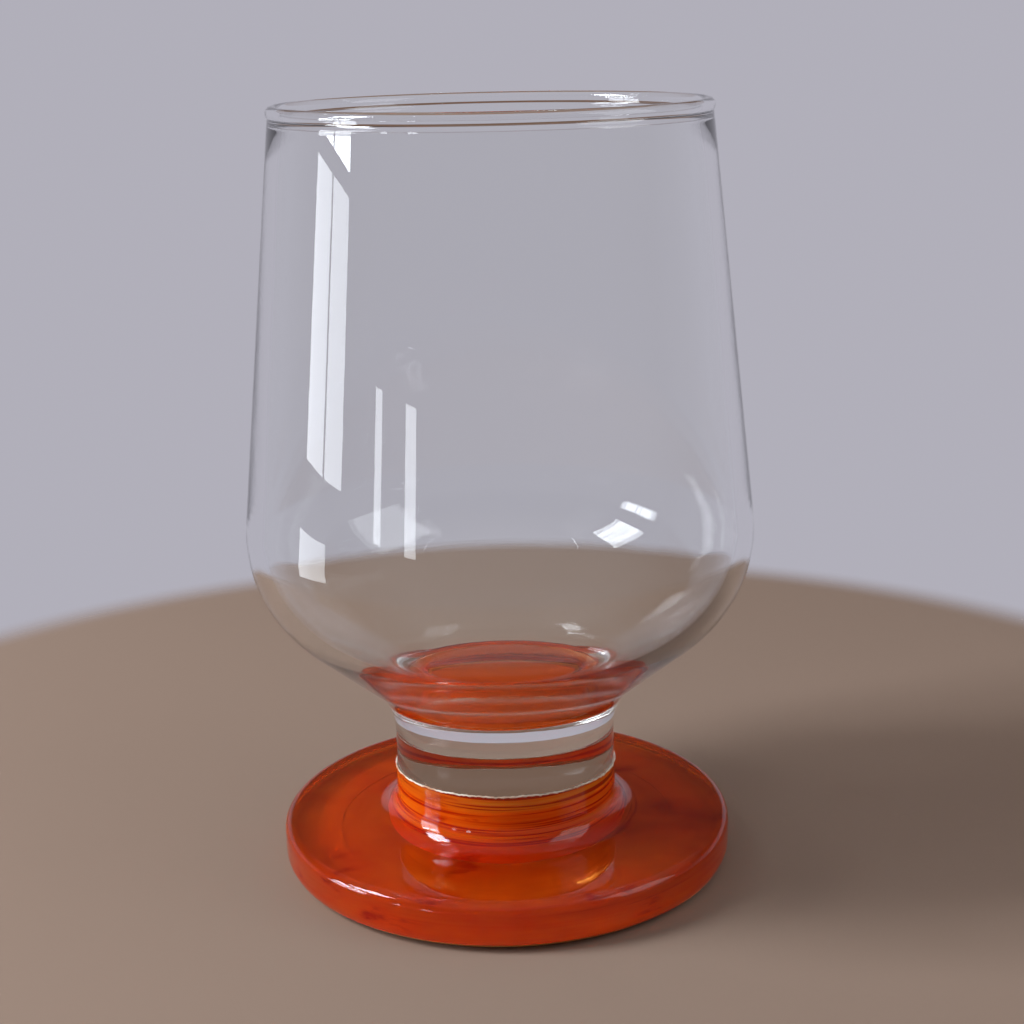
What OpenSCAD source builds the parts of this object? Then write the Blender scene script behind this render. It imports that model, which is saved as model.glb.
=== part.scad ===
// Short-stemmed water goblet: a clear glass bowl on a solid clear stem, fused to a hollow glass foot
// that carries a film of translucent orange lacquer outside and underneath.
// Every piece is turned about the Z axis, and the goblet stands on Z = 0.

/* [Bowl] */
// Height from the table to the crest of the lip
goblet_h = 120; // [112:0.5:130]
// Outside diameter of the lip
rim_d = 66.2; // [62:0.2:70]
// Diameter of the rounded bead that fire polishing leaves on the lip
bead_d = 2.1; // [1.9:0.1:2.4]
// Outside diameter at the widest place of the belly
bowl_d = 79.1; // [76:0.1:84]
// Height of the widest place above the table
widest_z = 55; // [52:0.5:58]
// Radius of the rounded belly, seen from the side
belly_r = 21; // [18:0.5:24]
// Wall thickness at the belly
wall_t = 2.6; // [2:0.1:3.2]
// Wall thickness below the lip
lip_t = 1.9; // [1.6:0.1:2]
// Height of the inside floor above the table
floor_z = 28.4; // [27.5:0.1:30]
// Diameter of the flat part of the inside floor
floor_d = 25; // [22:0.5:26]
// Rounding between the inside floor and the slope up to the belly
floor_round_r = 4; // [3:0.5:5]

/* [Stem] */
// Diameter of the stem
stem_d = 35.2; // [34:0.2:38]
// Height of the seam between the foot and the stem
seam_z = 16.6; // [15:0.1:18]
// Lean of the flare under the belly, from the vertical
flare_lean = 50.5; // [46:0.5:54]
// Radius of the hollow sweep from the stem to the flare
flare_r = 11.5; // [9:0.5:13]

/* [Foot] */
// Diameter of the foot
foot_d = 72; // [66:0.5:78]
// Thickness of the foot at its edge
foot_t = 7.4; // [6:0.1:8]
// Rounding of the foot's upper edge
edge_top_r = 1.5; // [0.8:0.1:2]
// Rounding of the foot's lower edge
edge_low_r = 2.9; // [2:0.1:3.5]
// Radius of the hollow sweep from the foot up to its neck
neck_sweep_r = 4.2; // [3:0.1:6]
// Diameter of the hollow under the foot, at its mouth
hollow_d = 34; // [33:0.5:35]
// Diameter of the hollow's flat roof
roof_d = 28.4; // [24:0.2:28.8]
// Height of the hollow's roof above the table
roof_z = 13; // [11:0.1:13.8]
// Rounding between the hollow's wall and its roof
roof_r = 1.4; // [0.8:0.1:2]
// Rise of the underside from the ring it stands on to the hollow's mouth
under_rise = 0.8; // [0.7:0.1:1.2]

/* [Lacquer] */
// Thickness of the orange film
film_t = 0.15; // [0.1:0.05:0.2]
// Height at which the outer film ends on the foot's lower edge
film_low_z = 1.2; // [0.8:0.1:2]
// Width of the bare glass between the film underneath and the ring that the foot stands on
bare_w = 4; // [3.5:0.5:6]

/* [Hidden] */
$fn = 96;

// Distance that a cutting shape runs past what it cuts
past = 5;

// Bowl, outside: the wall is the tangent from the bead's underside to the belly's circle
rim_r = rim_d / 2;
bead_r = bead_d / 2;
bead_z = goblet_h - bead_r;
bead_step = 0.1;
under_bead = [rim_r - bead_step, goblet_h - bead_d - bead_r];
belly_c = [bowl_d / 2 - belly_r, widest_z];
wall_turn = tangent_turn(under_bead, belly_c, belly_r);
wall_foot = on_circle(belly_c, belly_r, wall_turn);
wall_top = [on_line_r(wall_foot, under_bead, bead_z), bead_z];

// Bowl, inside: the same tangent and belly, one wall thickness in, then a slope tangent to the belly
// and to the rounding of the floor
inside_r = belly_r - wall_t;
under_bead_in = under_bead - [lip_t, 0];
inside_turn = tangent_turn(under_bead_in, belly_c, inside_r);
inside_foot = on_circle(belly_c, inside_r, inside_turn);
floor_c = [floor_d / 2, floor_z + floor_round_r];
slope_turn = tangent_turn(floor_c, belly_c, inside_r - floor_round_r, -1);
mouth_z = goblet_h + past;
inside_top = [on_line_r(inside_foot, under_bead_in, mouth_z), mouth_z];

// Flare: a cone tangent to the belly, met by a hollow sweep tangent to the stem
stem_r = stem_d / 2;
flare_top = on_circle(belly_c, belly_r, -flare_lean);
flare_low_r = stem_r + flare_r * (1 - cos(flare_lean));
flare_low = [flare_low_r, flare_top[1] - (flare_top[0] - flare_low_r) / tan(flare_lean)];
stem_top_z = flare_low[1] - flare_r * sin(flare_lean);

// Foot
foot_r = foot_d / 2;
hollow_r = hollow_d / 2;
stand_r = foot_r - edge_low_r - 2;

// Angle at which the tangent from point p touches the right side of the circle about c; side is 1 for
// a point above the circle and -1 for one below it
function tangent_turn(p, c, r, side = 1) =
    atan2(p[1] - c[1], p[0] - c[0]) - side * acos(r / norm(p - c));

// Point of the circle about c at an angle above the horizontal
function on_circle(c, r, turn) = c + r * [cos(turn), sin(turn)];

// Radius at height z of the line through a and b
function on_line_r(a, b, z) = a[0] + (b[0] - a[0]) * (z - a[1]) / (b[1] - a[1]);

// Circle about c, cut off at the axis so that it can be turned
module turned_circle(c, r) {
    intersection() {
        translate(c) circle(r);
        translate([0, c[1] - r - past]) square([c[0] + r + past, 2 * (r + past)]);
    }
}

// Side view of the bowl's outer form, with its solid base, down to the stem
module bowl_outside() {
    difference() {
        union() {
            polygon([[0, stem_top_z], [stem_r, stem_top_z], flare_low, flare_top,
                     wall_foot, wall_top, [0, bead_z]]);
            turned_circle(belly_c, belly_r);
        }
        translate([stem_r + flare_r, stem_top_z]) circle(flare_r);
    }
}

// Side view of the space that the bowl holds
module bowl_inside() {
    polygon([[0, floor_z], [floor_c[0], floor_z], on_circle(floor_c, floor_round_r, slope_turn),
             on_circle(belly_c, inside_r, slope_turn), inside_foot, inside_top, [0, mouth_z]]);
    turned_circle(floor_c, floor_round_r);
    turned_circle(belly_c, inside_r);
}

// Side view of the foot and its neck, grown by a skin and not yet hollowed
module foot_outside(skin) {
    top_z = foot_t + skin;
    outer_r = foot_r + skin;
    top_r = edge_top_r + skin;
    low_r = edge_low_r + skin;
    neck_r = stem_r + skin;
    sweep_r = neck_sweep_r - skin;
    low_z = edge_low_r;
    polygon([[0, low_z - low_r], [outer_r - low_r, low_z - low_r], [outer_r - low_r, low_z],
             [outer_r, low_z], [outer_r, top_z - top_r], [outer_r - top_r, top_z - top_r],
             [outer_r - top_r, top_z], [0, top_z]]);
    translate([outer_r - low_r, low_z]) circle(low_r);
    translate([outer_r - top_r, top_z - top_r]) circle(top_r);
    difference() {
        translate([0, foot_t / 2]) square([neck_r + sweep_r, top_z + sweep_r - foot_t / 2]);
        translate([neck_r + sweep_r, top_z + sweep_r]) circle(sweep_r);
    }
    translate([0, foot_t / 2]) square([neck_r, seam_z - foot_t / 2]);
}

// Side view of the hollow under the foot, narrowed by a skin: a shallow rise, then a tapered pocket
// with a flat roof
module foot_hollow(skin) {
    mouth = [hollow_r - skin, under_rise - skin];
    corner = [roof_d / 2, roof_z - roof_r];
    round_r = roof_r - skin;
    lean = tangent_turn(mouth, corner, round_r, -1);
    polygon([[0, -past], [stand_r, -past], [stand_r, -skin], mouth, on_circle(corner, round_r, lean),
             corner, corner + [0, round_r], [0, roof_z - skin]]);
    translate(corner) circle(round_r);
}

// Clear bowl: straight tapering wall, rounded belly, thick base and beaded lip
module bowl() {
    color([0.86, 0.88, 0.92, 0.35])
    rotate_extrude() {
        difference() {
            bowl_outside();
            bowl_inside();
        }
        translate([rim_r - bead_r, bead_z]) circle(bead_r);
    }
}

// Clear solid stem between the foot's neck and the bowl's flare
module stem() {
    color([0.86, 0.88, 0.92, 0.35])
    translate([0, 0, seam_z])
    cylinder(r = stem_r, h = stem_top_z - seam_z);
}

// Glass foot: thick disc, neck sweep, and a hollow pressed up into its neck from below
module foot() {
    color([0.90, 0.86, 0.82, 0.45])
    rotate_extrude()
    difference() {
        foot_outside(0);
        foot_hollow(0);
    }
}

// Orange film on the outside of the foot, from its lower edge up to the seam
module lacquer() {
    color([0.85, 0.27, 0.05, 0.75])
    rotate_extrude()
    intersection() {
        difference() {
            foot_outside(film_t);
            foot_outside(0);
        }
        translate([0, film_low_z]) square([foot_r + past, seam_z - film_low_z]);
    }
}

// Orange film in the hollow and on the rise around it, clear of the table
module under_lacquer() {
    color([0.85, 0.27, 0.05, 0.75])
    rotate_extrude()
    intersection() {
        difference() {
            foot_hollow(0);
            foot_hollow(film_t);
        }
        square([stand_r - bare_w, roof_z]);
    }
}

bowl();
stem();
foot();
lacquer();
under_lacquer();
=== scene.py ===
"""Looks of the short-stemmed water goblet: clear glass bowl and stem, glass foot, orange lacquer films."""
import math

import bmesh
import bpy
from mathutils import Matrix, Vector, noise

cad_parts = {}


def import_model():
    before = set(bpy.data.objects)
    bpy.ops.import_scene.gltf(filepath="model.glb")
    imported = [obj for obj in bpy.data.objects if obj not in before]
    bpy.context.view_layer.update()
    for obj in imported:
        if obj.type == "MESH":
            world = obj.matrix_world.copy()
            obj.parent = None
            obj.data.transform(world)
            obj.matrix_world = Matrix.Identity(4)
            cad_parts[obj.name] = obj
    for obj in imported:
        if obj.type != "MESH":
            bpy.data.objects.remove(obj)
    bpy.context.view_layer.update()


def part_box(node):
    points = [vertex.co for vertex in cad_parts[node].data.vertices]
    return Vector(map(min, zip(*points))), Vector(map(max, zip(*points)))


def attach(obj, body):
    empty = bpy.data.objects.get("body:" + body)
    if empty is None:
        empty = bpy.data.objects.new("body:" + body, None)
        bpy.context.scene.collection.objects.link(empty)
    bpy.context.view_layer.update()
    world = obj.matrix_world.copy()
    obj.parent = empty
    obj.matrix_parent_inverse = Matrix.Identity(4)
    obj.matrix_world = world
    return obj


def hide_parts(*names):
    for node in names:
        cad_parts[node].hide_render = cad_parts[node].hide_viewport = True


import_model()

MM = 0.001
ON_AXIS = 1e-9

# Numbers of a mix node's colour sockets, which share their names with its other sockets
MIX_FIRST = 6
MIX_SECOND = 7
MIX_RESULT = 2

# Steps of the turned meshes: round the axis, on long, middling and short arcs, on long and short straight
# runs, and on those that have their own count
SEGMENTS = 288
LONG_ARC_STEPS = 40
ARC_STEPS = 24
SHORT_ARC_STEPS = 12
LONG_RUN_STEPS = 12
RUN_STEPS = 6
INSIDE_STEPS = 48
SLOPE_STEPS = 8
LOW_EDGE_STEPS = 10
ROOF_STEPS = 6
RISE_STEPS = 6

# Heights and radii of the pieces, in millimetres, from the frame
LIP_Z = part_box("bowl")[1][2] / MM
STEM_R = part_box("stem")[1][0] / MM
STEM_TOP_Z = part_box("stem")[1][2] / MM
SEAM_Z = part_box("stem")[0][2] / MM
FOOT_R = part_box("foot")[1][0] / MM
FILM_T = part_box("lacquer")[1][0] / MM - FOOT_R
FILM_LOW_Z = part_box("lacquer")[0][2] / MM
UNDER_END_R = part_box("under_lacquer")[1][0] / MM
ROOF_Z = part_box("under_lacquer")[1][2] / MM

# Bowl, in millimetres and degrees
BEAD_R = 1.05
BEAD_C = (32.05, LIP_Z - BEAD_R)
BEAD_START = -40.0
BEAD_END = 225.0
LIP_DROP = 3.15
WALL_TOP = (33.0, LIP_Z - LIP_DROP)
INSIDE_TOP = (31.1, LIP_Z - LIP_DROP)
BELLY_R = 21.0
BELLY_C = (18.55, 55.0)
INSIDE_R = 18.4
FLARE_LEAN = 50.5
FLARE_R = 11.5
FLOOR_Z = 28.4
FLOOR_ROUND_R = 4.0
FLOOR_C = (12.5, FLOOR_Z + FLOOR_ROUND_R)

# Foot, in millimetres
FOOT_T = 7.4
EDGE_TOP_R = 1.5
EDGE_LOW_R = 2.9
NECK_SWEEP_R = 4.2
STAND_R = 31.1
MOUTH_R = 17.0
UNDER_RISE = 0.8
ROOF_R = 14.2
ROOF_ROUND_R = 1.4

# Gap between two fused faces, in millimetres: it keeps their meshes apart and is too thin to see
SEAM_GAP = 0.006

# Ragged upper edge of the outer lacquer: drop below the seam in front, further fall towards the back, size
# of the wiggles and bevel of the edge in millimetres, then the scales of the wiggles' noise
EDGE_DROP = 0.1
EDGE_FALL = 1.9
EDGE_WIGGLE = 0.28
EDGE_BEVEL = 0.05
EDGE_COARSE = 7.0
EDGE_FINE = 42.0
EDGE_FINE_SHIFT = Vector((3.0, 0.0, 0.0))

# Bead that dried along that edge: its radius and distance from the glass in millimetres, how it swells, and
# the angle between the points of its round side view
EDGE_BEAD_R = 0.13
EDGE_BEAD_OFF = 0.02
EDGE_SWELL = 0.6
EDGE_SWELL_SCALE = 25.0
EDGE_BEAD_TURN = 30

# Optics: the lacquer bends light less than the glass, so glass seen at a glancing angle mirrors off it
GLASS_IOR = 1.5
FILM_IOR = 1.4

# Share of the light that each film lets by clear, where the rest is scattered
DISC_CLEAR = 0.95
NECK_CLEAR = 0.5
UNDER_CLEAR = 0.05

# Roughness of the lacquer's outside, of the films underneath, of the dried edge and of the bowl's flare
GLOSS_ROUGH = 0.01
UNDER_ROUGH = 0.4
EDGE_ROUGH = 0.45
FLARE_ROUGH = 0.17

# Depth of the relief, in millimetres
GLASS_WAVE = 0.02
GLASS_RIPPLE = 0.006
FOOT_RIPPLE = 0.003
FILM_RUN = 0.03
FILM_RIDGE = 0.04

# Scale of each noise along X, Y and Z, per metre
WAVES = (55.0, 55.0, 40.0)
RIPPLES = (60.0, 60.0, 1800.0)
STREAKS = (25.0, 25.0, 1900.0)
BLOTCHES = (75.0, 110.0, 300.0)
RUNS = (120.0, 120.0, 500.0)
SPECKS = (400.0, 400.0, 400.0)

# Where a look changes, in millimetres: height above the table, and width of the fade above it
BOWL_RIPPLES = (38.0, 8.0)
FOOT_RIPPLES = (17.0, 8.0)
FLARE_START = (29.2, 2.0)
FLARE_END = (32.0, 8.0)
NECK_START = (8.0, 3.0)
STREAKS_START = (7.0, 2.0)

# Places of the film's streak, deep and light colours on its ramp, and what is added to the noise so that
# streaks stay off the disc and blotches are few
STREAK_AT = 0.42
DEEP_AT = 0.49
LIGHT_AT = 0.67
STREAK_LIFT = 0.14
BLOTCH_LIFT = 0.13

# Places of the edge bead's stained colour and of its pale colour on its ramp; the pale colour is a painted
# highlight where the edge catches the light
STAINED_AT = 0.35
PAINTED_HIGHLIGHT_AT = 0.55

# Colours, in linear light
CLEAR = (1.0, 1.0, 1.0, 1.0)
GLASS_TINT = (0.985, 0.99, 0.99, 1.0)
OUTER_DEEP = (0.96, 0.13, 0.004, 1.0)
OUTER_LIGHT = (1.0, 0.225, 0.009, 1.0)
UNDER_DEEP = (1.0, 0.14, 0.008, 1.0)
UNDER_LIGHT = (1.0, 0.20, 0.012, 1.0)
RISE_DEEP = (0.60, 0.21, 0.03, 1.0)
RISE_LIGHT = (0.68, 0.29, 0.045, 1.0)
STREAK = (0.50, 0.018, 0.001, 1.0)
FILM_INSIDE = (1.0, 0.85, 0.50, 1.0)
# Pale colour of the edge bead: a painted highlight, standing for the light that the lacquer's raised edge
# catches
EDGE_PAINTED_HIGHLIGHT = (0.80, 0.72, 0.60, 1.0)
EDGE_STAINED = (0.50, 0.24, 0.12, 1.0)
TABLE = (0.285, 0.205, 0.16, 1.0)
BACKDROP = (0.44, 0.43, 0.49, 1.0)
SIDES = (0.25, 0.235, 0.25, 1.0)
FRONT = (0.13, 0.125, 0.13, 1.0)
ROOM = (0.165, 0.10, 0.07, 1.0)
CEILING = (0.42, 0.40, 0.40, 1.0)
WINDOW = (0.90, 0.95, 1.0)

# Surroundings, by the sine of the height above the horizon, and by the share of a direction that points back
BACKDROP_TOP = 0.28
ROOM_FROM = 0.295
SIDES_TOP = 0.215
FRONT_FROM = 0.25
ROOM_TOP = 0.50
CEILING_FROM = 0.85
BEHIND_FROM = 0.1
BEHIND_FULL = 0.5

# Tabletop: sides of its mesh, then in metres its radius, the gap under the foot, and where it fades out
FLOOR_SIDES = 128
FLOOR_R = 0.6
FLOOR_GAP = 0.05 * MM
FLOOR_FADE = (0.150, 0.166)

# Panes of the window on the left, in metres. Columns: name and place along Y. Rows: name, height, height of
# the place that it lights, height of the pane, brightness with 1 as white paper, and whether it is seen
# through the glass
PANE_X = -0.55
PANE_W = 0.10
PANE_COLUMNS = (("back", -0.03), ("front", -0.14))
PANE_ROWS = (
    ("top", 0.49, 0.10, 0.24, 30.0, True),
    ("mid", 0.195, 0.10, 0.07, 28.0, True),
    ("low", 0.085, 0.085, 0.13, 8.0, False),
)

# Other lamps, in metres: name, place, place that it lights, width and height, brightness, and whether it is
# seen through the glass
MIDDLE = (0.0, 0.0, 0.07)
LAMPS = (
    ("left_sill", (-0.22, -0.03, 0.02), (0.0, -0.03, 0.05), (0.06, 0.03), 6.0, False),
    ("right_fill", (0.50, -0.15, 0.38), MIDDLE, (0.35, 0.40), 2.0, True),
    ("slit_left", (-0.47, -0.36, 0.042), MIDDLE, (0.035, 0.07), 8.0, False),
    ("slit_front", (-0.36, -0.47, 0.042), MIDDLE, (0.05, 0.07), 8.0, False),
)

# Camera, fitted to the photograph's outline: lengths in metres, angles in degrees
IMAGE_PX = 1024
FOCAL_PX = 1788.0
CAMERA_AT = (1.9 * MM, -270.2 * MM, 131.8 * MM)
PITCH = 15.48
ROLL = 1.24
SENSOR_MM = 36.0
NEAR_CLIP = 0.01


def tangent_turn(point, centre, radius, side=1):
    """Angle at which the tangent from a point touches the right side of a circle; side is 1 for a point
    above the circle and -1 for one below it."""
    across, up = point[0] - centre[0], point[1] - centre[1]
    return math.degrees(math.atan2(up, across) - side * math.acos(radius / math.hypot(across, up)))


def arc(centre, radius, start, end, steps):
    """Points of an arc in the side view, with angles in degrees above the horizontal."""
    turns = [math.radians(start + (end - start) * i / steps) for i in range(steps + 1)]
    return [(centre[0] + radius * math.cos(t), centre[1] + radius * math.sin(t)) for t in turns]


def line(start, end, steps):
    """Points of a straight run in the side view, both ends included."""
    shares = [i / steps for i in range(steps + 1)]
    return [(start[0] + (end[0] - start[0]) * s, start[1] + (end[1] - start[1]) * s) for s in shares]


def edge_height(turn):
    """Height of the lacquer's ragged edge at an angle about the axis; the front is at -90 degrees."""
    spot = Vector((math.cos(turn), math.sin(turn), 0.0))
    coarse = noise.noise(spot * EDGE_COARSE)
    fine = noise.noise(spot * EDGE_FINE + EDGE_FINE_SHIFT)
    fall = EDGE_DROP + EDGE_FALL * 0.5 * (1.0 + math.sin(turn))
    return SEAM_Z - fall + EDGE_WIGGLE * (0.5 * coarse + 0.5 * fine)


def lathe(name, spans, materials):
    """Turns a side view about the axis. A span is (material, points); a point is (radius, height) in
    millimetres, or a function of the angle that gives one. Spans meet at sharp edges."""
    bm = bmesh.new()
    rings, bands, corners = [], [], set()
    for material, points in spans:
        for i, point in enumerate(points):
            if i == 0 and rings:
                corners.add(len(rings) - 1)
                continue
            if i:
                bands.append(materials.index(material))
            rings.append(point)
    turns = [2.0 * math.pi * j / SEGMENTS for j in range(SEGMENTS)]

    def verts_of(point):
        at = [point(t) if callable(point) else point for t in turns]
        if max(r for r, _ in at) < ON_AXIS:
            return [bm.verts.new((0.0, 0.0, at[0][1] * MM))]
        return [bm.verts.new((r * math.cos(t) * MM, r * math.sin(t) * MM, z * MM))
                for (r, z), t in zip(at, turns)]

    loops = [verts_of(point) for point in rings]
    for low, high, slot in zip(loops, loops[1:], bands):
        for j in range(SEGMENTS):
            k = (j + 1) % SEGMENTS
            corner = [low[j % len(low)], low[k % len(low)], high[k % len(high)], high[j % len(high)]]
            face = bm.faces.new(list(dict.fromkeys(corner)))
            face.material_index = slot
            face.smooth = True
    for ring in corners:
        loop = loops[ring]
        if len(loop) > 1:
            for j in range(SEGMENTS):
                bm.edges.get((loop[j], loop[(j + 1) % SEGMENTS])).smooth = False
    mesh = bpy.data.meshes.new(name)
    bm.to_mesh(mesh)
    bm.free()
    for material in materials:
        mesh.materials.append(material)
    piece = bpy.data.objects.new(name, mesh)
    bpy.context.collection.objects.link(piece)
    return piece


def node_tree(name):
    """New material with nothing but an output: the material, its nodes, its links and its surface."""
    material = bpy.data.materials.new(name)
    material.use_nodes = True
    nodes, links = material.node_tree.nodes, material.node_tree.links
    nodes.clear()
    return material, nodes, links, nodes.new("ShaderNodeOutputMaterial").inputs["Surface"]


def stretched_noise(nodes, links, scale, detail=3.0):
    """Noise over the object, with its own scale along each axis: the socket of its value."""
    place = nodes.new("ShaderNodeTexCoord")
    mapping = nodes.new("ShaderNodeMapping")
    mapping.inputs["Scale"].default_value = scale
    texture = nodes.new("ShaderNodeTexNoise")
    texture.inputs["Scale"].default_value = 1.0
    texture.inputs["Detail"].default_value = detail
    links.new(place.outputs["Object"], mapping.inputs["Vector"])
    links.new(mapping.outputs["Vector"], texture.inputs["Vector"])
    return texture.outputs["Fac"]


def by_height(nodes, links, change, low, high):
    """One value under a height and another above it, with a fade between: the socket of the value."""
    height, fade = change
    place = nodes.new("ShaderNodeTexCoord")
    split = nodes.new("ShaderNodeSeparateXYZ")
    ramp = nodes.new("ShaderNodeMapRange")
    ramp.interpolation_type = "SMOOTHSTEP"
    ramp.inputs["From Min"].default_value = height * MM
    ramp.inputs["From Max"].default_value = (height + fade) * MM
    ramp.inputs["To Min"].default_value = low
    ramp.inputs["To Max"].default_value = high
    links.new(place.outputs["Object"], split.inputs["Vector"])
    links.new(split.outputs["Z"], ramp.inputs["Value"])
    return ramp.outputs["Result"]


def combined(nodes, links, operation, first, second):
    """Two sockets put together by a sum or by taking the lower one: the socket of the value."""
    both = nodes.new("ShaderNodeMath")
    both.operation = operation
    links.new(first, both.inputs[0])
    links.new(second, both.inputs[1])
    return both.outputs["Value"]


def colour_ramp(nodes, stops):
    """Colour ramp through two or more stops, each a place and a colour. A new ramp has two of them."""
    ramp = nodes.new("ShaderNodeValToRGB")
    elements = ramp.color_ramp.elements
    for i, (place, colour) in enumerate(stops):
        stop = elements[i] if i < 2 else elements.new(place)
        stop.position = place
        stop.color = colour
    return ramp


def relief(nodes, links, height, depth_mm, under=None):
    """Relief from a height socket, laid over the relief under it."""
    bump = nodes.new("ShaderNodeBump")
    bump.inputs["Strength"].default_value = 1.0
    bump.inputs["Distance"].default_value = depth_mm * MM
    links.new(height, bump.inputs["Height"])
    if under:
        links.new(under.outputs["Normal"], bump.inputs["Normal"])
    return bump


def glass(name, ripple_mm, ripples_end, flare_rough=0.0):
    """Clear soda glass: broad waves all over, ripples round its lower part, and a flare that may be less
    smooth, as moulded glass is."""
    material, nodes, links, surface = node_tree(name)
    shader = nodes.new("ShaderNodeBsdfPrincipled")
    shader.inputs["Base Color"].default_value = GLASS_TINT
    shader.inputs["Roughness"].default_value = 0.0
    shader.inputs["IOR"].default_value = GLASS_IOR
    shader.inputs["Transmission Weight"].default_value = 1.0
    if flare_rough > 0.0:
        rising = by_height(nodes, links, FLARE_START, 0.0, flare_rough)
        falling = by_height(nodes, links, FLARE_END, flare_rough, 0.0)
        links.new(combined(nodes, links, "MINIMUM", rising, falling), shader.inputs["Roughness"])
    waves = relief(nodes, links, stretched_noise(nodes, links, WAVES), GLASS_WAVE)
    ripples = relief(nodes, links, stretched_noise(nodes, links, RIPPLES), ripple_mm, waves)
    links.new(by_height(nodes, links, ripples_end, 1.0, 0.0), ripples.inputs["Strength"])
    links.new(ripples.outputs["Normal"], shader.inputs["Normal"])
    links.new(shader.outputs["BSDF"], surface)
    return material


def fused_face():
    """Face where glass is fused to glass, or where the film meets it: nothing bends or reflects there."""
    material, nodes, links, surface = node_tree("fused_face")
    shader = nodes.new("ShaderNodeBsdfTransparent")
    shader.inputs["Color"].default_value = CLEAR
    links.new(shader.outputs["BSDF"], surface)
    return material


def coated_glass():
    """Face of the foot's glass under the lacquer: pale amber, and a mirror at glancing angles from inside."""
    material, nodes, links, surface = node_tree("coated_glass")
    shader = nodes.new("ShaderNodeBsdfPrincipled")
    shader.inputs["Base Color"].default_value = FILM_INSIDE
    shader.inputs["Roughness"].default_value = 0.0
    shader.inputs["IOR"].default_value = GLASS_IOR / FILM_IOR
    shader.inputs["Transmission Weight"].default_value = 1.0
    links.new(shader.outputs["BSDF"], surface)
    return material


def film(name, colours, rough, ior, clear, neck_clear=None, ridge_mm=0.0):
    """Lacquer: a translucent coat in a streak, a deep and a light colour, with blotches and the soft waves of
    a coat that ran. On the neck the streaks run round it, where it may be less clear and have fine ridges."""
    material, nodes, links, surface = node_tree(name)
    shader = nodes.new("ShaderNodeBsdfPrincipled")
    shader.inputs["Roughness"].default_value = rough
    shader.inputs["IOR"].default_value = ior
    shader.inputs["Transmission Weight"].default_value = clear
    if neck_clear is not None:
        clearness = by_height(nodes, links, NECK_START, clear, neck_clear)
        links.new(clearness, shader.inputs["Transmission Weight"])
    streaks = stretched_noise(nodes, links, STREAKS, detail=4.0)
    off_neck = by_height(nodes, links, STREAKS_START, STREAK_LIFT, 0.0)
    on_neck = combined(nodes, links, "ADD", off_neck, streaks)
    blotches = nodes.new("ShaderNodeMath")
    blotches.operation = "ADD"
    blotches.inputs[1].default_value = BLOTCH_LIFT
    links.new(stretched_noise(nodes, links, BLOTCHES, detail=6.0), blotches.inputs[0])
    ramp = colour_ramp(nodes, tuple(zip((STREAK_AT, DEEP_AT, LIGHT_AT), colours)))
    links.new(combined(nodes, links, "MINIMUM", on_neck, blotches.outputs["Value"]), ramp.inputs["Fac"])
    links.new(ramp.outputs["Color"], shader.inputs["Base Color"])
    coat = relief(nodes, links, stretched_noise(nodes, links, RUNS), FILM_RUN)
    if ridge_mm > 0.0:
        coat = relief(nodes, links, streaks, ridge_mm, coat)
        coat.invert = True
    links.new(coat.outputs["Normal"], shader.inputs["Normal"])
    links.new(shader.outputs["BSDF"], surface)
    return material


def film_edge():
    """Pale line where the lacquer's edge stands off the glass: the bead is real, and its pale colour is a
    painted highlight where the edge catches the light, with darker stained specks mixed in.
    """
    material, nodes, links, surface = node_tree("lacquer_edge")
    shader = nodes.new("ShaderNodeBsdfPrincipled")
    shader.inputs["Roughness"].default_value = EDGE_ROUGH
    ramp = colour_ramp(nodes, ((STAINED_AT, EDGE_STAINED), (PAINTED_HIGHLIGHT_AT, EDGE_PAINTED_HIGHLIGHT)))
    links.new(stretched_noise(nodes, links, SPECKS), ramp.inputs["Fac"])
    links.new(ramp.outputs["Color"], shader.inputs["Base Color"])
    links.new(shader.outputs["BSDF"], surface)
    return material


def bowl(clear, fused):
    """Bowl: joint face, flare, belly, wall, beaded lip, inside wall, slope and flat floor."""
    wall_turn = tangent_turn(WALL_TOP, BELLY_C, BELLY_R)
    inside_turn = tangent_turn(INSIDE_TOP, BELLY_C, INSIDE_R)
    slope_turn = tangent_turn(FLOOR_C, BELLY_C, INSIDE_R - FLOOR_ROUND_R, -1)
    low_z = STEM_TOP_Z + SEAM_GAP
    joint = [(0.0, low_z), (STEM_R, low_z)]
    side = arc((STEM_R + FLARE_R, low_z), FLARE_R, 180.0, 180.0 - FLARE_LEAN, ARC_STEPS)
    side += arc(BELLY_C, BELLY_R, -FLARE_LEAN, wall_turn, LONG_ARC_STEPS)
    side += line(side[-1], WALL_TOP, LONG_RUN_STEPS)[1:]
    side += arc(BEAD_C, BEAD_R, BEAD_START, BEAD_END, LONG_ARC_STEPS)
    inner_belly = arc(BELLY_C, INSIDE_R, inside_turn, slope_turn, INSIDE_STEPS)
    floor_round = arc(FLOOR_C, FLOOR_ROUND_R, slope_turn, -90.0, ARC_STEPS)
    side += line(INSIDE_TOP, inner_belly[0], LONG_RUN_STEPS)
    side += inner_belly[1:]
    side += line(inner_belly[-1], floor_round[0], SLOPE_STEPS)[1:]
    side += floor_round[1:]
    side += line(floor_round[-1], (0.0, FLOOR_Z), RUN_STEPS)[1:]
    return lathe("bowl_glass", [(fused, joint), (clear, side)], [clear, fused])


def stem(clear, fused):
    """Stem: a short solid cylinder, fused at both ends."""
    low = [(0.0, SEAM_Z), (STEM_R, SEAM_Z)]
    side = line((STEM_R, SEAM_Z), (STEM_R, STEM_TOP_Z), RUN_STEPS)
    high = [(STEM_R, STEM_TOP_Z), (0.0, STEM_TOP_Z)]
    return lathe("stem_glass", [(fused, low), (clear, side), (fused, high)], [clear, fused])


def film_end_turn(low_r):
    """Angle on the foot's lower rounding at which the outer film ends."""
    return math.degrees(math.asin((FILM_LOW_Z - EDGE_LOW_R) / low_r))


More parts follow.
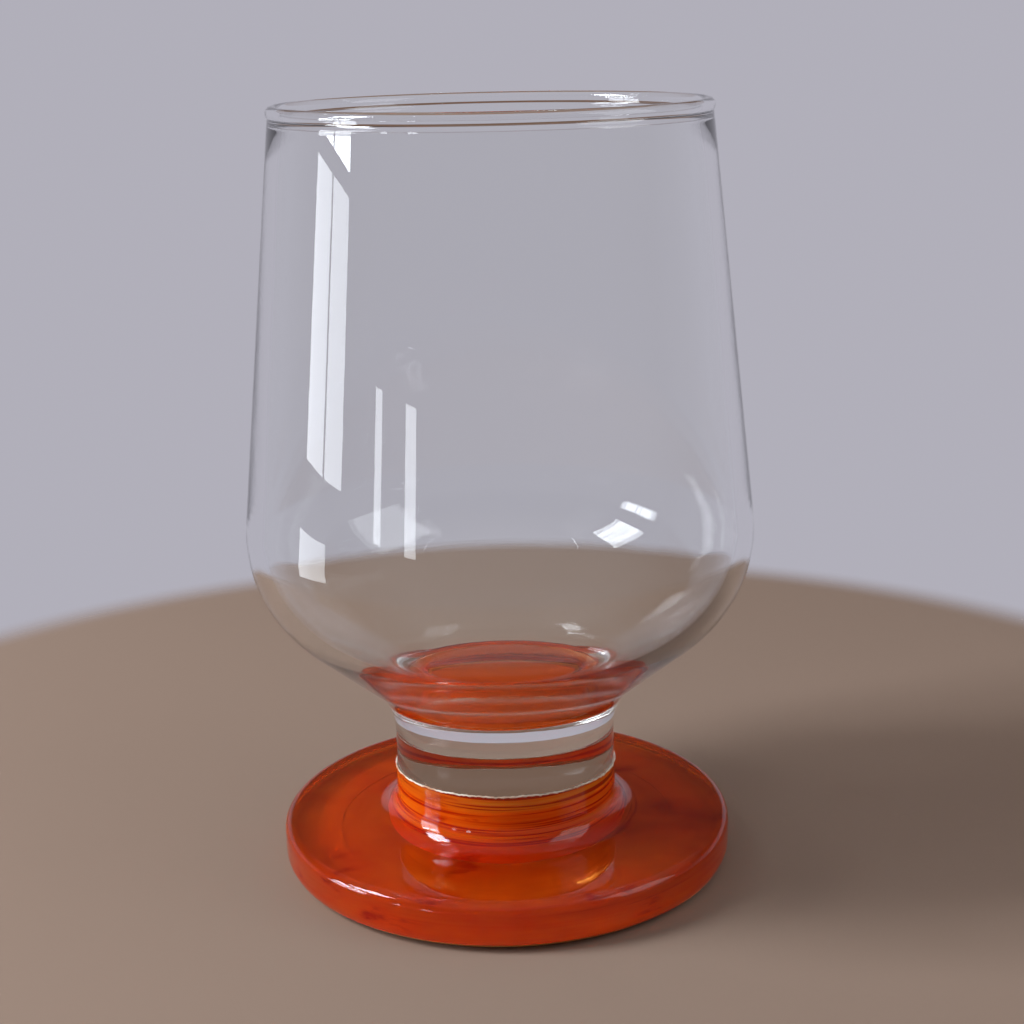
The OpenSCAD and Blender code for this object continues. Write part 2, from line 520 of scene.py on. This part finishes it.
def foot_side(skin):
    """Outside of the foot, grown by a skin, from where the film ends below up to the neck."""
    outer_r, top_z = FOOT_R + skin, FOOT_T + skin
    low_r, top_r, sweep_r = EDGE_LOW_R + skin, EDGE_TOP_R + skin, NECK_SWEEP_R - skin
    points = arc((outer_r - low_r, EDGE_LOW_R), low_r, film_end_turn(low_r), 0.0, SHORT_ARC_STEPS)
    points += arc((outer_r - top_r, top_z - top_r), top_r, 0.0, 90.0, SHORT_ARC_STEPS)
    sweep_c = (STEM_R + skin + sweep_r, top_z + sweep_r)
    points += line(points[-1], (sweep_c[0], top_z), LONG_RUN_STEPS)[1:-1]
    points += arc(sweep_c, sweep_r, 270.0, 180.0, ARC_STEPS)
    return points


def hollow_side(skin):
    """Underside of the foot, narrowed by a skin, from the axis out to where the film underneath ends."""
    mouth = (MOUTH_R - skin, UNDER_RISE - skin)
    corner = (ROOF_R, ROOF_Z - ROOF_ROUND_R)
    lean = tangent_turn(mouth, corner, ROOF_ROUND_R - skin, -1)
    end_z = UNDER_RISE * (STAND_R - UNDER_END_R) / (STAND_R - MOUTH_R)
    points = line((0.0, ROOF_Z - skin), (ROOF_R, ROOF_Z - skin), ROOF_STEPS)
    points += arc(corner, ROOF_ROUND_R - skin, 90.0, lean, SHORT_ARC_STEPS)[1:]
    points += line(points[-1], mouth, RUN_STEPS)[1:]
    points += line(mouth, (UNDER_END_R, end_z - skin), RISE_STEPS)[1:]
    return points


def neck_ring(radius, lift):
    """Ring of the neck at the lacquer's ragged edge."""
    return lambda turn: (radius, edge_height(turn) + lift)


def foot(clear, fused, coated, stained):
    """Foot: roof of the hollow under the film, wall and rise that the film is fused to, stained ring that it
    stands on, coated outside, and bare neck above the film's edge."""
    under = hollow_side(0.0)
    outside = foot_side(0.0)
    bearing = line(under[-1], (STAND_R, 0.0), RUN_STEPS)
    low_c, low_turn = (FOOT_R - EDGE_LOW_R, EDGE_LOW_R), film_end_turn(EDGE_LOW_R)
    edge = [(STAND_R, 0.0)] + arc(low_c, EDGE_LOW_R, -90.0, low_turn, LOW_EDGE_STEPS)
    outside += [neck_ring(STEM_R, 0.0)]
    top_z = SEAM_Z - SEAM_GAP
    bare = [outside[-1], (STEM_R, top_z)]
    joint = [(STEM_R, top_z), (0.0, top_z)]
    roof, wall = under[:ROOF_STEPS + 1], under[ROOF_STEPS:]
    spans = [(coated, roof), (fused, wall), (stained, bearing), (stained, edge), (coated, outside)]
    spans += [(clear, bare), (fused, joint)]
    return lathe("foot_glass", spans, [clear, fused, coated, stained])


def lacquer(gloss, fused):
    """Film on the foot's outside, from its lower edge up to the ragged line on the neck."""
    outer = foot_side(FILM_T) + [neck_ring(STEM_R + FILM_T, -EDGE_BEVEL)]
    inner = foot_side(SEAM_GAP) + [neck_ring(STEM_R + SEAM_GAP, 0.0)]
    inner.reverse()
    spans = [(gloss, outer), (gloss, [outer[-1], inner[0]]), (fused, inner), (gloss, [inner[-1], outer[0]])]
    return lathe("lacquer_film", spans, [gloss, fused])


def under_lacquer(pooled, thin, fused):
    """Film in the hollow, where the coat pooled, and on the rise around it, where it is thin."""
    outer = hollow_side(FILM_T)
    inner = hollow_side(SEAM_GAP)
    inner.reverse()
    hollow, rise = outer[:-RISE_STEPS], outer[-RISE_STEPS - 1:]
    spans = [(pooled, hollow), (thin, rise), (thin, [rise[-1], inner[0]]), (fused, inner)]
    return lathe("under_lacquer_film", spans, [pooled, thin, fused])


def lacquer_edge(pale):
    """Thin, uneven bead that dried along the film's ragged edge, in the pale colour of a painted highlight.
    """
    def ring(lean):
        def at(turn):
            spot = Vector((math.cos(turn), math.sin(turn), 0.0))
            swell = EDGE_BEAD_R * (1.0 + EDGE_SWELL * noise.noise(spot * EDGE_SWELL_SCALE))
            radius = STEM_R + EDGE_BEAD_OFF + swell * (1.0 + math.cos(lean))
            return (radius, edge_height(turn) + swell * math.sin(lean))
        return at
    rings = [ring(math.radians(a)) for a in range(-180, 181, EDGE_BEAD_TURN)]
    return lathe("lacquer_edge", [(pale, rings)], [pale])


def floor():
    """Plain tabletop that fades out into the backdrop around the goblet."""
    bm = bmesh.new()
    bmesh.ops.create_circle(bm, cap_ends=True, segments=FLOOR_SIDES, radius=FLOOR_R)
    mesh = bpy.data.meshes.new("floor")
    bm.to_mesh(mesh)
    bm.free()
    material, nodes, links, surface = node_tree("floor")
    paint = nodes.new("ShaderNodeBsdfDiffuse")
    paint.inputs["Color"].default_value = TABLE
    clear = nodes.new("ShaderNodeBsdfTransparent")
    place = nodes.new("ShaderNodeTexCoord")
    length = nodes.new("ShaderNodeVectorMath")
    length.operation = "LENGTH"
    fade = nodes.new("ShaderNodeMapRange")
    fade.interpolation_type = "SMOOTHSTEP"
    fade.inputs["From Min"].default_value, fade.inputs["From Max"].default_value = FLOOR_FADE
    mix = nodes.new("ShaderNodeMixShader")
    links.new(place.outputs["Object"], length.inputs[0])
    links.new(length.outputs["Value"], fade.inputs["Value"])
    links.new(fade.outputs["Result"], mix.inputs["Fac"])
    links.new(paint.outputs["BSDF"], mix.inputs[1])
    links.new(clear.outputs["BSDF"], mix.inputs[2])
    links.new(mix.outputs["Shader"], surface)
    mesh.materials.append(material)
    piece = bpy.data.objects.new("floor", mesh)
    piece.location = (0.0, 0.0, -FLOOR_GAP)
    bpy.context.collection.objects.link(piece)


def world():
    """Plain surroundings: a lavender backdrop with a dim warm room over it behind the goblet, dimmer greys at
    the sides and in front, and a grey ceiling over all."""
    backdrop = bpy.data.worlds.new("surroundings")
    backdrop.use_nodes = True
    nodes, links = backdrop.node_tree.nodes, backdrop.node_tree.links
    nodes.clear()
    out = nodes.new("ShaderNodeOutputWorld")
    light = nodes.new("ShaderNodeBackground")
    light.inputs["Strength"].default_value = 1.0
    place = nodes.new("ShaderNodeTexCoord")
    split = nodes.new("ShaderNodeSeparateXYZ")
    ceiling = (CEILING_FROM, CEILING)
    back = colour_ramp(nodes, ((BACKDROP_TOP, BACKDROP), (ROOM_FROM, ROOM), (ROOM_TOP, ROOM), ceiling))
    front = colour_ramp(nodes, ((SIDES_TOP, SIDES), (FRONT_FROM, FRONT), (ROOM_TOP, FRONT), ceiling))
    behind = nodes.new("ShaderNodeMapRange")
    behind.interpolation_type = "SMOOTHSTEP"
    behind.inputs["From Min"].default_value = BEHIND_FROM
    behind.inputs["From Max"].default_value = BEHIND_FULL
    mix = nodes.new("ShaderNodeMix")
    mix.data_type = "RGBA"
    links.new(place.outputs["Generated"], split.inputs["Vector"])
    links.new(split.outputs["Z"], back.inputs["Fac"])
    links.new(split.outputs["Z"], front.inputs["Fac"])
    links.new(split.outputs["Y"], behind.inputs["Value"])
    links.new(behind.outputs["Result"], mix.inputs["Factor"])
    links.new(front.outputs["Color"], mix.inputs[MIX_FIRST])
    links.new(back.outputs["Color"], mix.inputs[MIX_SECOND])
    links.new(mix.outputs[MIX_RESULT], light.inputs["Color"])
    links.new(light.outputs["Background"], out.inputs["Surface"])
    bpy.context.scene.world = backdrop


def softbox(name, centre, aim, size, radiance, through_glass):
    """Rectangular soft light whose face has the given brightness, 1 being white paper. One that is there for
    gloss only doesn't show through the glass."""
    lamp = bpy.data.lights.new(name, "AREA")
    lamp.shape = "RECTANGLE"
    lamp.size, lamp.size_y = size
    lamp.energy = radiance * math.pi * size[0] * size[1]
    lamp.color = WINDOW
    piece = bpy.data.objects.new(name, lamp)
    piece.location = centre
    piece.rotation_euler = (Vector(aim) - Vector(centre)).to_track_quat("-Z", "Y").to_euler()
    piece.visible_transmission = through_glass
    bpy.context.collection.objects.link(piece)


def lights():
    """Softboxes on the left, set like the panes of a tall window, a small one beside the foot, a fill on the
    right, and two narrow ones nearer the front."""
    for column, y in PANE_COLUMNS:
        for row, z, lit_z, height, radiance, through_glass in PANE_ROWS:
            name, size = f"left_{column}_{row}", (PANE_W, height)
            softbox(name, (PANE_X, y, z), (0.0, y, lit_z), size, radiance, through_glass)
    for lamp in LAMPS:
        softbox(*lamp)


def camera():
    """Camera at the photograph's viewing angle, with its slight lean."""
    lens = bpy.data.cameras.new("camera")
    lens.sensor_width = SENSOR_MM
    lens.lens = FOCAL_PX * SENSOR_MM / IMAGE_PX
    lens.clip_start = NEAR_CLIP
    piece = bpy.data.objects.new("camera", lens)
    tilt = Matrix.Rotation(math.radians(90.0 - PITCH), 4, "X")
    lean = Matrix.Rotation(math.radians(-ROLL), 4, "Z")
    piece.matrix_world = Matrix.Translation(CAMERA_AT) @ tilt @ lean
    bpy.context.collection.objects.link(piece)
    bpy.context.scene.camera = piece


bowl_glass = glass("bowl_glass", GLASS_RIPPLE, BOWL_RIPPLES, FLARE_ROUGH)
stem_glass = glass("stem_glass", FOOT_RIPPLE, BOWL_RIPPLES)
foot_glass = glass("foot_glass", FOOT_RIPPLE, FOOT_RIPPLES)
fused = fused_face()
outer_colours = (STREAK, OUTER_DEEP, OUTER_LIGHT)
under_colours = (UNDER_DEEP, UNDER_DEEP, UNDER_LIGHT)
rise_colours = (RISE_DEEP, RISE_DEEP, RISE_LIGHT)
outer_film = film("lacquer_gloss", outer_colours, GLOSS_ROUGH, FILM_IOR, DISC_CLEAR, NECK_CLEAR, FILM_RIDGE)
hollow_film = film("lacquer_pooled", under_colours, UNDER_ROUGH, FILM_IOR, UNDER_CLEAR)
rise_film = film("lacquer_thin", rise_colours, UNDER_ROUGH, FILM_IOR, UNDER_CLEAR)
stained_ring = film("stained_ring", rise_colours, UNDER_ROUGH, GLASS_IOR, UNDER_CLEAR)

pieces = {
    "bowl": (bowl(bowl_glass, fused), "clear_glass"),
    "stem": (stem(stem_glass, fused), "clear_glass"),
    "foot": (foot(foot_glass, fused, coated_glass(), stained_ring), "foot_glass"),
    "lacquer": (lacquer(outer_film, fused), "orange_lacquer"),
    "under_lacquer": (under_lacquer(hollow_film, rise_film, fused), "orange_lacquer"),
}
for node, (piece, slot) in pieces.items():
    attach(piece, "root")
    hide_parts(node)
edge = lacquer_edge(film_edge())
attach(edge, "root")

floor()
world()
lights()
camera()

scene = bpy.context.scene
scene.view_settings.view_transform = "Standard"
scene.cycles.max_bounces = 32
scene.cycles.transmission_bounces = 32
scene.cycles.glossy_bounces = 16
scene.cycles.transparent_max_bounces = 64
scene.cycles.use_denoising = True
